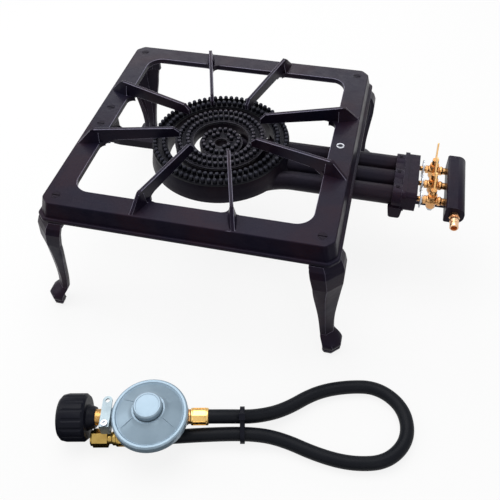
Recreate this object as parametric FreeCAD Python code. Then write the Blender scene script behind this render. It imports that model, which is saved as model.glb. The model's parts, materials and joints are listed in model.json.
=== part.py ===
import FreeCAD, Part
import math
import os

# Three-ring gas burner in a square cast-iron stand, with its taps, regulator and hose.
# Millimetres. X runs from the burner to the gas manifold, Y from the front to the back, Z up.
# Everything is placed from the middle of the stand and moved to the final origin when it is written.

Vec = FreeCAD.Vector
UP = Vec(0, 0, 1)
ALONG_X = Vec(1, 0, 0)
ALONG_Y = Vec(0, 1, 0)
MIDDLE = Vec(0, 0, 0)

# Stand
frame_side = 400.0
stand_height = 200.0
frame_corner_cut = 11.0
frame_corner_round = 8.0
plate_thick = 6.0
apron_height = 30.0
apron_wall = 5.0
apron_flare = 5.0
bead_height = 7.0
bead_reach = 4.0
border_x = 34.0
border_y = 32.0
opening_corner = 24.0
inner_lip_depth = 8.0
inner_lip_wall = 5.0

# Pot ribs
rib_rise = 22.0
rib_tip_rise = 17.0
rib_thick = 5.0
rib_underside = 0.8
rib_root_offset = 70.0
rib_root_gap = 2.0
rib_peak_at = 25.0
rib_tip = (27.0, 54.5)
rib_tip_cut = 8.0
rib_haunch = 16.0
rib_foot_width = 13.0
rib_web_radius = 9.0

# M6 screws and nuts
screw_radius = 3.0
screw_hole_gap = 0.3
screw_head_reach = 2.8
screw_head_depth = 3.3
countersink_gap = 0.35
slot_width = 1.4
slot_depth = 1.2
nut_height = 5.0

# Legs
leg_screw_inset = 17.5
leg_shoulder = 6.0
leg_sleeve_wall = 6.0
leg_sleeve_clearance = 0.5
leg_sleeve_arm = 32.0
leg_sleeve_cut = 14.0
leg_flange = 8.0
nut_pocket_gap = 1.8
leg_arm = 43.0
leg_shoulder_arm = 38.5
leg_corner_cut = 20.0
foot_spread = 17.0
knee_bulge = 8.0
knee_share = 0.775
ankle_height = 29.0
toe_height = 19.0
toe_groove = 2.0

# Burner, its heights measured down from the top of the stand
outer_ring_outside = 107.5
outer_ring_draft = 4.5
outer_ring_inside = 81.0
outer_floor_drop = 48.0
middle_ring_outside = 69.0
middle_ring_inside = 42.5
middle_floor_drop = 35.0
centre_ring_outside = 32.5
centre_ring_hole = 10.0
centre_floor_drop = 42.0
head_seat_drop = 20.0
centre_seat_drop = 27.0
ring_wall = 2.4
ring_base = 4.0
centre_ring_wall = 2.5
head_thick = 3.0
head_bead_rise = 0.5
head_bead_wide = 1.4
skirt_depth = 4.0
skirt_wall = 1.4
skirt_clearance = 0.2
nub_radius = 3.3
nub_waist_radius = 3.1
nub_shoulder_radius = 2.7
nub_tip_radius = 1.9
nub_height = 7.5
port_radius = 0.55
head_outside = outer_ring_outside - outer_ring_draft
rim_nub_inset = 3.9
rim_port_lean = 2.4
rim_nub_count = 72
outer_rows = ((outer_ring_inside + 5.0, 64),)
middle_rows = ((middle_ring_outside - 6.5, 48), (middle_ring_inside + 7.0, 38))
centre_row = (centre_ring_outside - 5.7, 20)
centre_pairs_radius = centre_ring_hole + 6.4
centre_pair_angle = 26.0

# Mixing tubes
tube_radius = 14.0
tube_wall = 3.0
tube_gap = 5.5
tube_below_ring = 1.0
tube_clearance = 1.5
notch_clearance = 0.8
middle_riser_x = 46.0
middle_tube_end = 18.0
centre_riser_x = 21.0
centre_web_end = 70.0
centre_web_thick = 5.0
horn_start_x = 122.0
horn_end = (58.0, -74.0)
horn_end_drop = 33.0

# Burner arm on the left border
arm_screw_inset = 17.5
arm_screw_y = 21.0
arm_lug_thick = 10.0
arm_lug_half = 31.0
arm_top_drop = 29.0
arm_thick = 12.5
arm_half = 16.5

# Hanger on the right border
hanger_inset = 20.0
hanger_wide = 20.0
hanger_wall = 4.5
hanger_top_wall = 6.0
hanger_boss_radius = 9.6

# Collar that holds the three tubes
collar_reach = 64.0
collar_lobe_length = 12.5
collar_bead_length = 6.0
collar_block_length = 15.5
collar_wall = 3.5
collar_bead_wall = 4.5
collar_block_wall = 2.5
socket_clearance = 0.1
socket_depth = 13.0
venturi_bore = 9.0
mouth_bore = 13.0
set_screw_radius = 2.5

# Taps
jet_radius = 3.6
jet_length = 15.5
jet_in_collar = 2.0
tap_body_length = 22.0
barrel_at = 8.5
tap_body_radius = 7.2
tap_thread_radius = 5.0
tap_thread_length = 7.5
barrel_wall = 2.2
barrel_below = 11.0
barrel_above = 8.5
plug_top_radius = 4.6
plug_taper = 1.0
plug_fit = 0.05
plug_collar_reach = 1.9
plug_head_top = 20.0
lever_thick = 2.2
shutter_at = 7.0
shutter_radius = 13.0
shutter_thick = 1.6
shutter_fit = 0.08

# Gas manifold
manifold_gap = 5.5
manifold_wide = 27.0
manifold_front_reach = 25.0
manifold_back_reach = 22.0
manifold_half_height = 14.0
gas_way_radius = 5.0
inlet_length = 25.0
inlet_radius = 6.4

# Bracket between the collar and the manifold
bracket_y = -17.0
bracket_wide = 10.0
bracket_thick = 6.0

# Regulator, in its own axes: u along the inlet, v across it, height above the floor
regulator_x = 4.0
regulator_before_stand = 194.0
regulator_turn = 13.0
inlet_axis_v = 5.625
inlet_axis_height = 31.25
disc_radius = 48.75
disc_rim_height = 47.5
dish_radius = 41.25
dish_rise = 10.0
cap_boss_radius = 21.0
cap_radius = 17.5
boss_top = 65.0
cap_top = 75.0
wheel_radius = 30.625
wheel_start = -118.75
wheel_end = -82.5
wheel_ribs = 16
stem_nose = -122.5
inlet_boss_start = -58.75
stem_collar_end = -88.75
stem_radius = 10.5
stem_collar_reach = 4.5
neck_gap = 0.375
neck_wall = 2.25
ferrule_start = 49.375
ferrule_end = 73.5
ferrule_radius = 11.125
ferrule_flats = 8
ferrule_bore = 5.875

# Hose
hose_radius = 9.125
hose_route = (
    (73.5, 5.625, 31.25),
    (102.5, 5.625, 31.25),
    (135.0, 10.375, 20.625),
    (172.5, 23.75, 12.5),
    (215.0, 51.25, 9.5),
    (257.5, 60.25, 9.25),
    (301.375, 58.875, 9.25),
    (332.5, 27.75, 9.25),
    (332.5, -16.25, 9.25),
    (301.375, -47.375, 9.25),
    (257.5, -50.0, 9.25),
    (215.0, -38.75, 9.5),
    (165.0, -15.75, 12.0),
    (125.375, -10.75, 15.75),
    (67.5, -11.75, 15.25),
    (10.0, -14.5, 13.25),
    (-20.0, -14.5, 13.25),
)
tie_u = 117.0
tie_thick = 1.75
tie_wide = 6.0
tie_gap = 2.0

# Sizes and places that follow from those above
half_side = frame_side / 2
plate_bottom = stand_height - plate_thick
lip_bottom = stand_height - inner_lip_depth
apron_bottom = stand_height - apron_height
apron_half = half_side + apron_flare
bead_half = apron_half + bead_reach
opening_half_x = half_side - border_x
opening_half_y = half_side - border_y
leg_screw_place = half_side - leg_screw_inset
arm_screw_x = arm_screw_inset - half_side
hanger_x = half_side - hanger_inset
screw_hole_radius = screw_radius + screw_hole_gap
screw_head_radius = screw_radius + screw_head_reach
nut_across_flats = 2 * screw_radius + 4.0
nut_pocket_radius = nut_across_flats / math.sqrt(3) + nut_pocket_gap
outer_ring_floor = stand_height - outer_floor_drop
middle_ring_floor = stand_height - middle_floor_drop
centre_ring_floor = stand_height - centre_floor_drop
ring_head_seat = stand_height - head_seat_drop
centre_head_seat = stand_height - centre_seat_drop
arm_top = stand_height - arm_top_drop
tube_bore = tube_radius - tube_wall
tube_spacing = 2 * tube_radius + tube_gap
tube_height = middle_ring_floor - tube_below_ring - tube_radius
tube_rows = (tube_spacing, 0.0, -tube_spacing)
hanger_half = tube_spacing + tube_radius + hanger_wall
hanger_bottom = tube_height - tube_radius - hanger_wall - 0.5
hanger_top = tube_height + tube_radius + hanger_top_wall
collar_start = half_side + collar_reach
collar_lobe_end = collar_start + collar_lobe_length
collar_bead_end = collar_lobe_end + collar_bead_length
collar_end = collar_bead_end + collar_block_length
collar_lobe_radius = tube_radius + collar_wall
collar_bead_half = (tube_spacing + tube_radius + collar_bead_wall - 2.0, tube_radius + collar_bead_wall)
collar_block_half = (tube_spacing + tube_radius + collar_block_wall - 2.0, tube_radius + collar_block_wall)
jet_start = collar_end - jet_in_collar
tap_body_start = jet_start + jet_length
tap_body_end = tap_body_start + tap_body_length
tap_x = tap_body_start + barrel_at
barrel_radius = plug_top_radius + barrel_wall
shutter_x = collar_end + shutter_at
manifold_start = tap_body_end + manifold_gap
manifold_front = tube_spacing + manifold_front_reach
manifold_back = tube_spacing + manifold_back_reach
bracket_drop = collar_block_half[1]
bracket_top = tube_height - bracket_drop
bracket_bolt_x = (collar_end - 8.0, manifold_start + 7.0)
regulator_at = (regulator_x, -half_side - regulator_before_stand)
places = ("back", "middle", "front")


def box(x0, x1, y0, y1, z0, z1):
    return Part.makeBox(x1 - x0, y1 - y0, z1 - z0, Vec(x0, y0, z0))


def rod(start, direction, length, radius):
    return Part.makeCylinder(radius, length, start, direction)


def cone(start, direction, length, radius_a, radius_b):
    return Part.makeCone(radius_a, radius_b, length, start, direction)


def ring(inside, outside, z0, z1):
    disc = rod(Vec(0, 0, z0), UP, z1 - z0, outside)
    return disc.cut(rod(Vec(0, 0, z0 - 1), UP, z1 - z0 + 2, inside))


def polygon(points):
    corners = [Vec(*p) for p in points]
    return Part.makePolygon(corners + [corners[0]])


def level(points, z):
    return [(x, y, z) for x, y in points]


def prism(points, z0, z1):
    return Part.Face(polygon(level(points, z0))).extrude(Vec(0, 0, z1 - z0))


def rounded_outline(points, radii):
    """Closed wire through 3-D points of one plane, each corner rounded by its own radius."""
    corners = []
    for i, point in enumerate(points):
        here = Vec(*point)
        to_last = (Vec(*points[i - 1]) - here).normalize()
        to_next = (Vec(*points[(i + 1) % len(points)]) - here).normalize()
        half_angle = to_last.getAngle(to_next) / 2
        radius = radii[i]
        if radius == 0:
            corners.append((here, here, here))
            continue
        reach = radius / math.tan(half_angle)
        inward = (to_last + to_next).normalize()
        middle = here + inward * (radius / math.sin(half_angle) - radius)
        corners.append((here + to_last * reach, middle, here + to_next * reach))
    edges = []
    for i, (start, middle, end) in enumerate(corners):
        if start.distanceToPoint(end) > 1e-6:
            edges.append(Part.Arc(start, middle, end).toShape())
        following = corners[(i + 1) % len(corners)][0]
        if end.distanceToPoint(following) > 1e-6:
            edges.append(Part.LineSegment(end, following).toShape())
    return Part.Wire(edges)


def rounded_prism(points, radii, thickness):
    """The outline pushed along a vector."""
    return Part.Face(rounded_outline(points, radii)).extrude(thickness)


def rectangle(half_x, half_y):
    return [(half_x, -half_y), (half_x, half_y), (-half_x, half_y), (-half_x, -half_y)]


def cut_square(half, cut):
    """Corners of a square whose own corners are cut at 45 degrees."""
    quarter = [(half, -half + cut), (half, half - cut)]
    points = []
    for turn in range(4):
        angle = math.radians(90 * turn)
        cos, sin = round(math.cos(angle)), round(math.sin(angle))
        points += [(x * cos - y * sin, x * sin + y * cos) for x, y in quarter]
    return points


def loft(sections, ruled=True):
    return Part.makeLoft(sections, True, ruled)


def hexagon(start, direction, length, across_flats):
    """Hexagonal bar with a flat facing sideways."""
    radius = across_flats / math.sqrt(3)
    corners = [(radius * math.cos(math.radians(60 * i)), radius * math.sin(math.radians(60 * i)), 0)
               for i in range(6)]
    bar = Part.Face(polygon(corners)).extrude(Vec(0, 0, length))
    bar.Placement = FreeCAD.Placement(start, FreeCAD.Rotation(UP, direction))
    return bar


def turned(shape, degrees, about=MIDDLE, axis=UP):
    copy = shape.copy()
    copy.rotate(about, axis, degrees)
    return copy


def moved(shape, x, y, z=0.0):
    copy = shape.copy()
    copy.translate(Vec(x, y, z))
    return copy


def joined(shapes):
    whole = shapes[0].multiFuse(shapes[1:])
    return whole.removeSplitter()


def less(shape, cutters):
    return shape.cut(Part.makeCompound(cutters))


def revolved(profile, start, direction):
    """Solid turned from a closed profile of (radius, length) about an axis."""
    wire = polygon([(r, 0, a) for r, a in profile])
    solid = Part.Face(wire).revolve(MIDDLE, UP, 360)
    solid.Placement = FreeCAD.Placement(start, FreeCAD.Rotation(UP, direction))
    return solid


def countersink(x, y, top):
    """Hole for an M6 screw, drilled down from a face."""
    head = cone(Vec(x, y, top), Vec(0, 0, -1), screw_head_depth,
                screw_head_radius + countersink_gap, screw_radius + countersink_gap)
    bore = rod(Vec(x, y, top), Vec(0, 0, -1), 60, screw_hole_radius)
    return head.fuse(bore)


def flat_screw(x, y, top, length):
    """Slotted countersunk screw, its head level with a face."""
    head = cone(Vec(x, y, top), Vec(0, 0, -1), screw_head_depth, screw_head_radius, screw_radius)
    shank = rod(Vec(x, y, top - screw_head_depth), Vec(0, 0, -1), length - screw_head_depth, screw_radius)
    slot = box(x - 9, x + 9, y - slot_width / 2, y + slot_width / 2, top - slot_depth, top + 1)
    return head.fuse(shank).removeSplitter().cut(slot)


def nut_below(x, y, top):
    nut = hexagon(Vec(x, y, top - nut_height), UP, nut_height, nut_across_flats)
    return nut.cut(rod(Vec(x, y, top - nut_height - 1), UP, nut_height + 2, screw_radius))


# Stand

def web_fillet(corner, along_a, along_b, radius, z0, z1):
    """Plan fillet that fills the corner between two walls."""
    half_angle = along_a.getAngle(along_b) / 2
    reach = radius / math.tan(half_angle)
    inward = (along_a + along_b).normalize()
    start = corner + along_a * reach
    end = corner + along_b * reach
    middle = corner + inward * (radius / math.sin(half_angle) - radius)
    edges = [Part.LineSegment(corner, start).toShape(), Part.Arc(start, middle, end).toShape(),
             Part.LineSegment(end, corner).toShape()]
    face = Part.Face(Part.Wire(edges))
    face.translate(Vec(0, 0, z0))
    return face.extrude(Vec(0, 0, z1 - z0))


def pot_rib(border, side):
    """Rib on the front border, at +X for side 1 and at -X for side -1."""
    root = Vec(rib_root_offset * side, -half_side, 0)
    tip = Vec(rib_tip[0] * side, -rib_tip[1], 0)
    length = root.distanceToPoint(tip)
    heading = (tip - root).normalize()
    inner_edge = border / heading.y
    peak = stand_height + rib_rise
    tip_top = stand_height + rib_tip_rise
    underside = stand_height + rib_underside
    in_plate = plate_bottom + plate_thick / 4
    profile = [
        (rib_root_gap, 0, in_plate),
        (rib_root_gap, 0, stand_height),
        (rib_peak_at, 0, peak),
        (length - rib_tip_cut, 0, tip_top),
        (length, 0, tip_top - rib_tip_cut),
        (length, 0, underside),
        (inner_edge + rib_haunch, 0, underside),
        (inner_edge + 2, 0, lip_bottom),
        (inner_edge - 1, 0, lip_bottom),
        (inner_edge - 1, 0, in_plate),
    ]
    radii = [0, 0, 9, 3, 2, 2, 10, 0, 0, 0]
    blade = rounded_prism(profile, radii, Vec(0, rib_thick, 0))
    blade.translate(Vec(0, -rib_thick / 2, 0))
    half_top = rib_thick / 2 - 0.1
    foot_sections = []
    for u, half_foot, ridge in (
            (rib_root_gap + 1.5, rib_foot_width / 2 - 1.5, stand_height + 0.6),
            (rib_peak_at - 2, rib_foot_width / 2, peak - 4.0),
            (inner_edge - 1.5, rib_foot_width / 2, peak - 6.0)):
        foot_sections.append(polygon([
            (u, -half_foot, stand_height - 1.5), (u, half_foot, stand_height - 1.5),
            (u, half_top, ridge), (u, -half_top, ridge)]))
    rib = blade.fuse(loft(foot_sections))
    rib.rotate(MIDDLE, UP, math.degrees(math.atan2(heading.y, heading.x)))
    rib.translate(root)
    across = Vec(-heading.y, heading.x, 0)
    webs = []
    for hand in (1, -1):
        inner_y = -half_side + border
        on_face = root + across * (hand * rib_thick / 2)
        step = (inner_y - on_face.y) / heading.y
        corner = on_face + heading * step
        outward = Vec(1, 0, 0) if across.x * hand > 0 else Vec(-1, 0, 0)
        webs.append(web_fillet(corner, heading, outward, rib_web_radius, lip_bottom, stand_height))
    return [rib] + webs


def top_frame():
    outer = loft([
        polygon(level(cut_square(half_side, frame_corner_cut), stand_height)),
        polygon(level(cut_square(apron_half, frame_corner_cut), apron_bottom + bead_height))])
    outer = outer.makeFillet(frame_corner_round, [e for e in outer.Edges if e.BoundBox.ZLength > 1])
    outer = outer.makeFillet(1.6, [e for e in outer.Edges if e.BoundBox.ZMin > stand_height - 0.1])
    bead = prism(cut_square(bead_half, frame_corner_cut + 1), apron_bottom, apron_bottom + bead_height)
    bead = bead.makeFillet(frame_corner_round, [e for e in bead.Edges if e.BoundBox.ZLength > 1])
    bead = bead.makeFillet(2.4, [e for e in bead.Edges if e.BoundBox.ZLength < 0.1])
    hollow = loft([
        polygon(level(cut_square(half_side - apron_wall, frame_corner_cut), plate_bottom)),
        polygon(level(cut_square(apron_half - apron_wall, frame_corner_cut), apron_bottom - 1))])
    opening = rectangle(opening_half_x, opening_half_y)
    lip_outline = rectangle(opening_half_x + inner_lip_wall, opening_half_y + inner_lip_wall)
    corner_round = [opening_corner] * 4
    lip_round = [opening_corner + inner_lip_wall] * 4
    lip_height = Vec(0, 0, plate_bottom - lip_bottom + 1)
    lip = rounded_prism(level(lip_outline, lip_bottom), lip_round, lip_height)
    hole = rounded_prism(level(opening, lip_bottom - 5), corner_round, Vec(0, 0, inner_lip_depth + 10))
    boss = rod(Vec(hanger_x, 0, hanger_top), UP, plate_bottom - hanger_top + 1, hanger_boss_radius)
    shell = joined([outer, bead]).cut(hollow)
    frame = joined([shell, lip, boss]).cut(hole)
    ribs = []
    for quarter in range(4):
        border = half_side - (opening_half_y if quarter % 2 == 0 else opening_half_x)
        for side in (1, -1):
            ribs += [turned(part, 90 * quarter) for part in pot_rib(border, side)]
    frame = joined([frame] + ribs)
    holes = [countersink(sx * leg_screw_place, sy * leg_screw_place, stand_height)
             for sx in (1, -1) for sy in (1, -1)]
    holes += [countersink(arm_screw_x, side * arm_screw_y, stand_height) for side in (1, -1)]
    holes.append(countersink(hanger_x, 0, stand_height))
    return less(frame, holes)


# Legs

def angle_points(outside, arm, cut, wall):
    """Corner points of an angle whose outer corner, towards +X +Y, is cut at 45 degrees."""
    inner_cut = min(0.6 * cut, arm - wall - 1.0)
    o, w, c, t = outside, arm, cut, wall
    return [(o - w, o), (o - c, o), (o, o - c), (o, o - w), (o - t, o - w),
            (o - t, o - t - inner_cut), (o - t - inner_cut, o - t), (o - w, o - t)]


def leg_section(height, outside, arm, cut, wall):
    return polygon(level(angle_points(outside, arm, cut, wall), height))


def leg():
    """Cabriole leg for the +X +Y corner, with a shoulder under the bead and a sleeve inside the apron."""
    top = apron_bottom
    knee = top * knee_share
    calf = bead_half + 2.4
    toe = bead_half + foot_spread
    knee_section = leg_section(knee, bead_half + knee_bulge, 38.5, 19, 6.5)
    ankle_section = leg_section(ankle_height, calf + 1.2, 18, 9.5, 8.5)
    toe_section = leg_section(toe_height - 6, toe, 25.5, 11, 11)
    upper = [
        leg_section(top, bead_half + 0.4, leg_shoulder_arm, leg_corner_cut, 6),
        leg_section(top - 7, bead_half + knee_bulge * 0.6, leg_arm - 1, leg_corner_cut + 1, 6),
        leg_section(top - 17, bead_half + knee_bulge, leg_arm, leg_corner_cut + 2, 6),
        knee_section]
    lower = [
        knee_section,
        leg_section(top * 0.58, bead_half + knee_bulge * 0.62, 30.5, 16.5, 7),
        leg_section(top * 0.45, calf + 0.8, 24.6, 13.5, 8),
        leg_section(top * 0.31, calf - 0.2, 20.0, 11.0, 8.5),
        ankle_section]
    flare = [
        ankle_section,
        leg_section(ankle_height - 4.5, (calf + toe) / 2, 22, 10, 9.5),
        leg_section(toe_height, toe - 1.0, 25, 10.5, 10.5),
        toe_section]
    foot = [
        toe_section,
        leg_section(toe_height - 8, toe - 0.5, 25, 11, 11),
        leg_section(toe_height - 9.5, toe - toe_groove, 23.5, 10, 9.5),
        leg_section(toe_height - 11, toe - 0.4, 24, 11, 11),
        leg_section(4, toe - 0.8, 21.5, 11, 10.5),
        leg_section(0, toe - 4.0, 17, 9, 10)]
    sleeve_out = half_side - apron_wall - leg_sleeve_clearance
    sleeve_in = sleeve_out - leg_sleeve_wall
    shoulder_wall = bead_half - sleeve_in
    shoulder = prism(angle_points(bead_half, leg_shoulder_arm, leg_corner_cut, shoulder_wall),
                     top - leg_shoulder, top)
    sleeve = prism(angle_points(sleeve_out, leg_sleeve_arm, leg_sleeve_cut, leg_sleeve_wall),
                   top - leg_shoulder, plate_bottom)
    flange_in = leg_screw_place - 10
    flange_out = sleeve_out - 1
    flange = prism([
        (flange_in, flange_out), (flange_out - leg_sleeve_cut, flange_out),
        (flange_out, flange_out - leg_sleeve_cut), (flange_out, flange_in), (flange_in, flange_in)],
        plate_bottom - leg_flange, plate_bottom)
    body = joined([loft(upper), loft(lower, False), loft(flare, False), loft(foot), shoulder, sleeve, flange])
    screw_line = Vec(leg_screw_place, leg_screw_place, top)
    bore = rod(screw_line, UP, apron_height, screw_hole_radius)
    pocket = rod(screw_line, UP, plate_bottom - leg_flange - top, nut_pocket_radius)
    return less(body, [bore, pocket])


def leg_screws():
    length = plate_thick + leg_flange + nut_height + 3
    return [flat_screw(sx * leg_screw_place, sy * leg_screw_place, stand_height, length)
            for sx in (1, -1) for sy in (1, -1)]


def leg_nuts():
    top = plate_bottom - leg_flange
    return [nut_below(sx * leg_screw_place, sy * leg_screw_place, top) for sx in (1, -1) for sy in (1, -1)]


# Burner rings

def nub_places(rows):
    return [(radius * math.cos(2 * math.pi * i / count), radius * math.sin(2 * math.pi * i / count))
            for radius, count in rows for i in range(count)]


def pair_places():
    """Four pairs of nubs round the hole of the centre head."""
    places_found = []
    for quarter in range(4):
        for side in (1, -1):
            angle = math.radians(45 + 90 * quarter + side * centre_pair_angle / 2)
            direction = Vec(math.cos(angle), math.sin(angle), 0)
            places_found.append((centre_pairs_radius * direction.x, centre_pairs_radius * direction.y))
    return places_found


def nub(x, y, top, root=0.5):
    """Cast nub on a burner head, narrowing in steps to its round tip."""
    levels = (-root, 0.72 * nub_height, 0.90 * nub_height, nub_height)
    radii = (nub_radius, nub_waist_radius, nub_shoulder_radius, nub_tip_radius)
    return revolved([(0, levels[0])] + list(zip(radii, levels)) + [(0, nub_height)], Vec(x, y, top), UP)


def rim_nubs(outside, seat):
    """Nubs that stand on a head's outer rim, and their ports, which lean out from the channel."""
    radius = outside - rim_nub_inset
    bosses, ports = [], []
    for x, y in nub_places([(radius, rim_nub_count)]):
        bosses.append(nub(x, y, seat + head_thick, head_thick))
        start = Vec(x, y, 0) * ((radius - rim_port_lean) / radius) + UP * (seat - 2)
        lean = Vec(x, y, seat + head_thick + nub_height) - start
        ports.append(rod(start, lean, lean.Length + 2, port_radius))
    return bosses, ports


def ring_head(inside, outside, wall, seat, nubs, rim=False):
    """Burner head: a plate with beaded rims, skirts that drop into the channel and drilled nubs."""
    top = seat + head_thick
    plate = ring(inside, outside, seat, top)
    rims = [ring(outside - head_bead_wide, outside + 0.5, seat, top + head_bead_rise),
            ring(inside - 0.5, inside + head_bead_wide, seat, top + head_bead_rise)]
    skirt_out = outside - wall - skirt_clearance
    skirt_in = inside + wall + skirt_clearance
    skirts = [ring(skirt_out - skirt_wall, skirt_out, seat - skirt_depth, seat + 0.5),
              ring(skirt_in, skirt_in + skirt_wall, seat - skirt_depth, seat + 0.5)]
    bosses = [nub(x, y, top) for x, y in nubs]
    ports = [rod(Vec(x, y, seat - 2), UP, head_thick + nub_height + 4, port_radius) for x, y in nubs]
    if rim:
        rim_bosses, rim_ports = rim_nubs(outside, seat)
        bosses += rim_bosses
        ports += rim_ports
    return less(joined([plate] + rims + skirts + bosses), ports)


def tube_bore_cutter(y, end_x):
    return rod(Vec(end_x, y, tube_height), ALONG_X, collar_start + socket_depth - end_x + 1, tube_bore)


def tube_under(y, end_x):
    return rod(Vec(end_x, y, tube_height), ALONG_X, collar_start + socket_depth - end_x, tube_radius)


def horn_section(centre, heading, half_wide, half_high):
    """Ellipse square to a heading, for the horn's loft."""
    if abs(half_wide - half_high) < 1e-6:
        return Part.Wire([Part.Circle(centre, heading, half_wide).toShape()])
    across = Vec(-heading.y, heading.x, 0).normalize()
    rise = heading.cross(across)
    long_half, long_axis, short_half, short_axis = half_wide, across, half_high, rise
    if half_high > half_wide:
        long_half, long_axis, short_half, short_axis = half_high, rise, half_wide, across
    ellipse = Part.Ellipse(centre + long_axis * long_half, centre + short_axis * short_half, centre)
    return Part.Wire([ellipse.toShape()])


def horn(wall_in):
    """Front tube's curved end, which swells into the outer ring's wall."""
    start = Vec(horn_start_x, -tube_spacing, tube_height)
    end = Vec(horn_end[0], horn_end[1], stand_height - horn_end_drop)
    sections = []
    steps = ((0.0, 0.0), (0.35, 0.10), (0.7, 0.42), (1.0, 1.0))
    for along, bend in steps:
        centre = Vec(start.x + (end.x - start.x) * along, start.y + (end.y - start.y) * bend,
                     start.z + (end.z - start.z) * bend * 0.45)
        heading = Vec(1, 0.95 * along, 0).normalize()
        radius = tube_radius - wall_in
        sections.append(horn_section(centre, heading, radius - 2.0 * along, radius - 1.0 * along))
    return loft(sections, False)


def left_arm():
    """Arm cast on the outer ring, with a raised lug bolted under the left border."""
    lug_bottom = plate_bottom - arm_lug_thick
    arm_bottom = arm_top - arm_thick
    lug = rounded_prism(level([
        (arm_screw_x - 11, -arm_lug_half), (arm_screw_x + 9.5, -arm_lug_half),
        (arm_screw_x + 9.5, arm_lug_half), (arm_screw_x - 11, arm_lug_half)], lug_bottom),
        [7] * 4, Vec(0, 0, arm_lug_thick))
    neck = box(arm_screw_x - 6, arm_screw_x + 12.5, -13.5, 13.5, arm_bottom, lug_bottom + 2)
    bar = prism([
        (arm_screw_x + 11.5, -arm_half + 1.5), (arm_screw_x + 22, -arm_half), (-96, -arm_half),
        (-96, arm_half), (arm_screw_x + 60, arm_half - 1.5), (arm_screw_x + 37, 10),
        (arm_screw_x + 22, 8), (arm_screw_x + 11.5, 15)], arm_bottom, arm_top)
    return [lug, neck, bar]


def outer_ring_casting():
    notch_front = -tube_radius - notch_clearance
    notch_back = tube_spacing + tube_radius + notch_clearance
    notch_top = tube_height + tube_radius + tube_clearance
    floor_top = outer_ring_floor + ring_base
    bridge_top = notch_top + ring_base - 1
    wall_height = ring_head_seat - outer_ring_floor
    body = cone(Vec(0, 0, outer_ring_floor), UP, wall_height, outer_ring_outside, head_outside)
    body = body.cut(rod(Vec(0, 0, outer_ring_floor - 1), UP, outer_floor_drop, outer_ring_inside))
    cavity = ring(outer_ring_inside + ring_wall, head_outside - ring_wall, floor_top, ring_head_seat + 1)
    notch_wall = 3.0
    under_bridge = box(55, 120, notch_front - notch_wall, notch_back + notch_wall, floor_top - 2, bridge_top)
    cavity = cavity.cut(under_bridge)
    notch = box(55, 120, notch_front, notch_back, outer_ring_floor - 2, notch_top)
    tube = rod(Vec(horn_start_x, -tube_spacing, tube_height), ALONG_X,
               collar_start + socket_depth - horn_start_x, tube_radius)
    tube_hollow = tube_bore_cutter(-tube_spacing, horn_start_x - 0.5)
    horn_skin = horn(0.0).cut(rod(Vec(0, 0, ring_head_seat - 8), UP, 30, outer_ring_outside))
    horn_skin = horn_skin.cut(rod(Vec(0, 0, stand_height / 2), UP, stand_height, outer_ring_inside + 1))
    arm = joined(left_arm()).cut(rod(Vec(0, 0, stand_height / 2), UP, stand_height, outer_ring_inside + 2))
    arm_holes = [rod(Vec(arm_screw_x, side * arm_screw_y, plate_bottom - arm_lug_thick - 1), UP,
                     arm_lug_thick + 2, screw_hole_radius) for side in (1, -1)]
    whole = joined([body, tube, horn_skin, arm])
    return less(whole, [cavity, notch, tube_hollow, horn(tube_radius - tube_bore)] + arm_holes)


def middle_ring_casting():
    body = ring(middle_ring_inside, middle_ring_outside, middle_ring_floor, ring_head_seat)
    cavity = ring(middle_ring_inside + ring_wall, middle_ring_outside - ring_wall,
                  middle_ring_floor + ring_base, ring_head_seat + 1)
    y = tube_spacing
    riser_height = middle_ring_floor - tube_height + 2
    riser = rod(Vec(middle_riser_x, y, tube_height), UP, riser_height, tube_radius - 1.2)
    riser_bore = rod(Vec(middle_riser_x, y, tube_height), UP, 25, 9.0)
    riser_bore = riser_bore.common(ring(middle_ring_inside + ring_wall, middle_ring_outside - ring_wall,
                                        tube_height - 5, stand_height))
    inner_bore = Part.makeSphere(tube_bore, Vec(middle_riser_x, y, tube_height))
    tube = tube_under(y, middle_tube_end)
    tube = tube.cut(rod(Vec(0, 0, tube_height), UP, 60, centre_ring_outside + tube_clearance))
    whole = joined([body, riser, tube])
    return less(whole, [cavity, riser_bore, inner_bore, tube_bore_cutter(y, middle_riser_x)])


def centre_ring_casting():
    body = ring(centre_ring_hole, centre_ring_outside, centre_ring_floor, centre_head_seat)
    cavity = ring(centre_ring_hole + centre_ring_wall, centre_ring_outside - centre_ring_wall,
                  centre_ring_floor + ring_base, centre_head_seat + 1)
    tube = tube_under(0, centre_riser_x)
    elbow = Part.makeSphere(tube_radius, Vec(centre_riser_x, 0, tube_height))
    elbow = elbow.cut(rod(Vec(0, 0, tube_height - tube_radius - 1), UP, 60, centre_ring_hole + 1))
    riser_bore = rod(Vec(centre_riser_x + 1, 0, tube_height), UP, centre_ring_floor - tube_height + 8, 6.0)
    inner_bore = rod(Vec(centre_riser_x - 4, 0, tube_height), ALONG_X, 300, 8.0)
    inner_bore = inner_bore.common(box(0, 60, -tube_radius, tube_radius, 0, stand_height))
    web_half = tube_spacing - tube_radius - 0.7
    web_low = tube_height - 2
    web = box(centre_ring_hole + 2, centre_web_end, -web_half, web_half, web_low, web_low + centre_web_thick)
    whole = joined([body, tube, elbow, web])
    return less(whole, [cavity, riser_bore, inner_bore, tube_bore_cutter(0, 50)])


def arm_screws():
    length = plate_thick + arm_lug_thick + nut_height + 3
    return [flat_screw(arm_screw_x, side * arm_screw_y, stand_height, length) for side in (1, -1)]


def arm_nuts():
    return [nut_below(arm_screw_x, side * arm_screw_y, plate_bottom - arm_lug_thick) for side in (1, -1)]


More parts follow.
